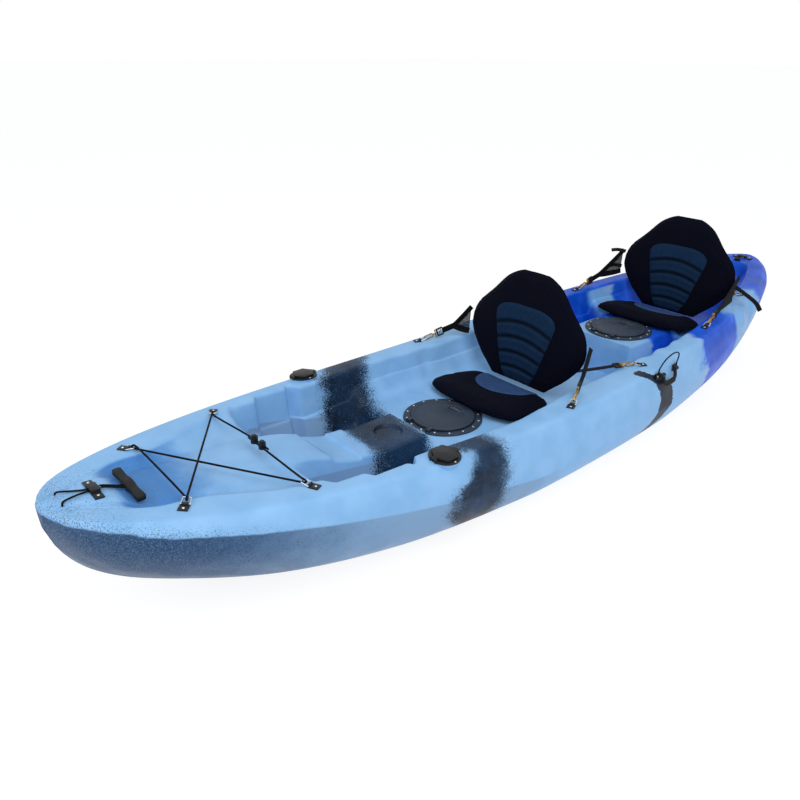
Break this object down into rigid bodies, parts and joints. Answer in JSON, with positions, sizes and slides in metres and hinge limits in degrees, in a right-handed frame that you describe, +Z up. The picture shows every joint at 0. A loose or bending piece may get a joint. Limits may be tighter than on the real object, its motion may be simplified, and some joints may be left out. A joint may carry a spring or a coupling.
{
  "type": "kayak",
  "caption": "Tandem sit-on-top kayak with a blue marbled hollow hull, two folding padded seats, deck hatches, rod holders, bungee and carrying handles",
  "frame": {"origin": "under the middle of the hull, on the plane that the keel runners stand on", "axes": "+X to the bow, +Y to port, +Z up"},
  "size_m": [3.6, 0.9076, 0.7428],
  "materials": {
    "hull_plastic": "moulded polyethylene, light blue marbled with cobalt, slate and grey",
    "bright_steel": "bright stainless steel",
    "brass_fittings": "plain brass",
    "webbing": "woven black webbing",
    "cord": "braided black cord",
    "seat_fabric": "black padded fabric",
    "inset_fabric": "blue-grey quilted fabric",
    "seal_rubber": "soft black rubber",
    "grip_rubber": "matt black rubber",
    "latch_plastic": "grey plastic",
    "hatch_plastic": "dark grey plastic",
    "black_plastic": "black plastic"
  },
  "bodies": {
    "hull_body": {"hull": "hull_plastic", "bow_eye_tabs": "black_plastic", "bow_eye_rings": "bright_steel", "seat_eye_tabs": "black_plastic", "seat_eye_rings": "bright_steel", "eye_rivets": "bright_steel", "bungee_cord": "cord", "cord_lock_bodies": "black_plastic", "bow_cord_guide": "black_plastic", "stern_cord_guide": "black_plastic", "toggle_cord": "cord", "rod_holder_port": "black_plastic", "rod_holder_starboard": "black_plastic", "front_hatch_rim": "hatch_plastic", "front_hatch_seal": "seal_rubber", "rear_hatch_rim": "hatch_plastic", "rear_hatch_seal": "seal_rubber", "hatch_screws": "bright_steel", "handle_brackets": "black_plastic", "paddle_loops": "cord", "panhead_screws": "bright_steel", "drain_socket": "black_plastic", "drain_seal": "seal_rubber", "front_seat_fore_straps": "webbing", "front_seat_aft_straps": "webbing", "rear_seat_fore_straps": "webbing", "rear_seat_aft_straps": "webbing", "strap_buckles": "black_plastic", "snap_hooks": "brass_fittings"},
    "front_lid": {"front_hatch_lid": "hatch_plastic"},
    "front_latch": {"front_hatch_latch": "latch_plastic"},
    "rear_lid": {"rear_hatch_lid": "hatch_plastic"},
    "rear_latch": {"rear_hatch_latch": "latch_plastic"},
    "front_pad": {"front_seat_pad": "seat_fabric"},
    "front_back": {"front_seat_back": "seat_fabric", "front_seat_panel": "inset_fabric"},
    "rear_pad": {"rear_seat_pad": "seat_fabric"},
    "rear_back": {"rear_seat_back": "seat_fabric", "rear_seat_panel": "inset_fabric"},
    "rod_cap_port_body": {"rod_cap_port": "black_plastic"},
    "rod_cap_starboard_body": {"rod_cap_starboard": "black_plastic"},
    "side_grip_port_body": {"side_grip_port": "grip_rubber"},
    "side_grip_starboard_body": {"side_grip_starboard": "grip_rubber"},
    "toggle": {"toggle_grip": "grip_rubber", "toggle_lead": "cord"},
    "cord_button_port_body": {"cord_button_port": "black_plastic"},
    "cord_button_starboard_body": {"cord_button_starboard": "black_plastic"},
    "drain": {"drain_plug": "black_plastic"},
    "gate_1_port_body": {"gate_1_port": "brass_fittings"},
    "gate_1_starboard_body": {"gate_1_starboard": "brass_fittings"},
    "gate_2_port_body": {"gate_2_port": "brass_fittings"},
    "gate_2_starboard_body": {"gate_2_starboard": "brass_fittings"},
    "gate_3_port_body": {"gate_3_port": "brass_fittings"},
    "gate_3_starboard_body": {"gate_3_starboard": "brass_fittings"},
    "gate_4_port_body": {"gate_4_port": "brass_fittings"},
    "gate_4_starboard_body": {"gate_4_starboard": "brass_fittings"}
  },
  "joints": [
    {"name": "front_lid_hinge", "type": "hinge", "parent": "hull_body", "child": "front_lid", "pos_m": [0.567, 0, 0.229], "axis": [0, 1, 0], "range_deg": [0, 42]},
    {"name": "front_latch_lift", "type": "hinge", "parent": "front_lid", "child": "front_latch", "pos_m": [0.374, 0, 0.229], "axis": [0, -1, 0], "range_deg": [0, 45]},
    {"name": "rear_lid_hinge", "type": "hinge", "parent": "hull_body", "child": "rear_lid", "pos_m": [-0.514, 0, 0.311], "axis": [0, 1, 0], "range_deg": [0, 42]},
    {"name": "rear_latch_lift", "type": "hinge", "parent": "rear_lid", "child": "rear_latch", "pos_m": [-0.707, 0, 0.311], "axis": [0, -1, 0], "range_deg": [0, 45]},
    {"name": "front_pad_lift", "type": "hinge", "parent": "hull_body", "child": "front_pad", "pos_m": [0.055, 0, 0.219], "axis": [0, -1, 0], "range_deg": [0, 40]},
    {"name": "front_back_fold", "type": "hinge", "parent": "hull_body", "child": "front_back", "pos_m": [0.031, 0, 0.229], "axis": [0, -1, 0], "range_deg": [-28, 10], "deforming": ["front_seat_fore_straps", "front_seat_aft_straps"]},
    {"name": "rear_pad_lift", "type": "hinge", "parent": "hull_body", "child": "rear_pad", "pos_m": [-1.02, 0, 0.279], "axis": [0, -1, 0], "range_deg": [0, 40]},
    {"name": "rear_back_fold", "type": "hinge", "parent": "hull_body", "child": "rear_back", "pos_m": [-1.044, 0, 0.289], "axis": [0, -1, 0], "range_deg": [-28, 10], "deforming": ["rear_seat_fore_straps", "rear_seat_aft_straps"]},
    {"name": "rod_cap_port_hinge", "type": "hinge", "parent": "hull_body", "child": "rod_cap_port_body", "pos_m": [0.843, 0.36613, 0.36583], "axis": [0, 0.9976, -0.0698], "range_deg": [0, 150]},
    {"name": "rod_cap_starboard_hinge", "type": "hinge", "parent": "hull_body", "child": "rod_cap_starboard_body", "pos_m": [0.843, -0.36613, 0.36583], "axis": [0, 0.9976, 0.0698], "range_deg": [0, 150]},
    {"name": "side_grip_port_lift", "type": "hinge", "parent": "hull_body", "child": "side_grip_port_body", "pos_m": [-0.31567, 0.43232, 0.33256], "axis": [0.9989, 0.0462, 0], "range_deg": [0, 110]},
    {"name": "side_grip_starboard_lift", "type": "hinge", "parent": "hull_body", "child": "side_grip_starboard_body", "pos_m": [-0.31567, -0.43232, 0.33256], "axis": [-0.9989, 0.0462, 0], "range_deg": [0, 110]},
    {"name": "toggle_lift", "type": "hinge", "parent": "hull_body", "child": "toggle", "pos_m": [1.654, 0, 0.42739], "axis": [0, 1, 0], "range_deg": [0, 75]},
    {"name": "cord_button_port_press", "type": "slide", "parent": "hull_body", "child": "cord_button_port_body", "axis": [0, 0, -1], "range_m": [0, 0.004], "stiffness_N_per_m": 300, "springref_m": -0.003},
    {"name": "cord_button_starboard_press", "type": "slide", "parent": "hull_body", "child": "cord_button_starboard_body", "axis": [0, 0, -1], "range_m": [0, 0.004], "stiffness_N_per_m": 300, "springref_m": -0.003},
    {"name": "drain_turn", "type": "hinge", "parent": "hull_body", "child": "drain", "pos_m": [-1.678, 0, 0.43534], "axis": [0, 0, 1], "range_deg": [0, 180]},
    {"name": "gate_1_port_spring", "type": "hinge", "parent": "hull_body", "child": "gate_1_port_body", "pos_m": [0.1745, 0.36429, 0.3653], "axis": [-0.407, 0.9134, 0], "range_deg": [0, 18], "stiffness_Nm_per_rad": 0.02, "springref_deg": -11.46},
    {"name": "gate_1_starboard_spring", "type": "hinge", "parent": "hull_body", "child": "gate_1_starboard_body", "pos_m": [0.1745, -0.36429, 0.3653], "axis": [0.407, 0.9134, 0], "range_deg": [0, 18], "stiffness_Nm_per_rad": 0.02, "springref_deg": -11.46},
    {"name": "gate_2_port_spring", "type": "hinge", "parent": "hull_body", "child": "gate_2_port_body", "pos_m": [-0.19832, 0.32513, 0.36718], "axis": [-0.5304, -0.8477, 0], "range_deg": [0, 18], "stiffness_Nm_per_rad": 0.02, "springref_deg": -11.46},
    {"name": "gate_2_starboard_spring", "type": "hinge", "parent": "hull_body", "child": "gate_2_starboard_body", "pos_m": [-0.19832, -0.32513, 0.36718], "axis": [0.5304, -0.8477, 0], "range_deg": [0, 18], "stiffness_Nm_per_rad": 0.02, "springref_deg": -11.46},
    {"name": "gate_3_port_spring", "type": "hinge", "parent": "hull_body", "child": "gate_3_port_body", "pos_m": [-0.80482, 0.32382, 0.40156], "axis": [-0.1167, 0.9932, 0], "range_deg": [0, 18], "stiffness_Nm_per_rad": 0.02, "springref_deg": -11.46},
    {"name": "gate_3_starboard_spring", "type": "hinge", "parent": "hull_body", "child": "gate_3_starboard_body", "pos_m": [-0.80482, -0.32382, 0.40156], "axis": [0.1167, 0.9932, 0], "range_deg": [0, 18], "stiffness_Nm_per_rad": 0.02, "springref_deg": -11.46},
    {"name": "gate_4_port_spring", "type": "hinge", "parent": "hull_body", "child": "gate_4_port_body", "pos_m": [-1.16187, 0.22775, 0.41601], "axis": [-0.2961, -0.9552, 0], "range_deg": [0, 18], "stiffness_Nm_per_rad": 0.02, "springref_deg": -11.46},
    {"name": "gate_4_starboard_spring", "type": "hinge", "parent": "hull_body", "child": "gate_4_starboard_body", "pos_m": [-1.16187, -0.22775, 0.41601], "axis": [0.2961, -0.9552, 0], "range_deg": [0, 18], "stiffness_Nm_per_rad": 0.02, "springref_deg": -11.46}
  ],
  "couplings": [
    {"joint": "front_pad_lift", "follows": "front_lid_hinge", "ratio": 0.92},
    {"joint": "rear_pad_lift", "follows": "rear_lid_hinge", "ratio": 0.92}
  ]
}
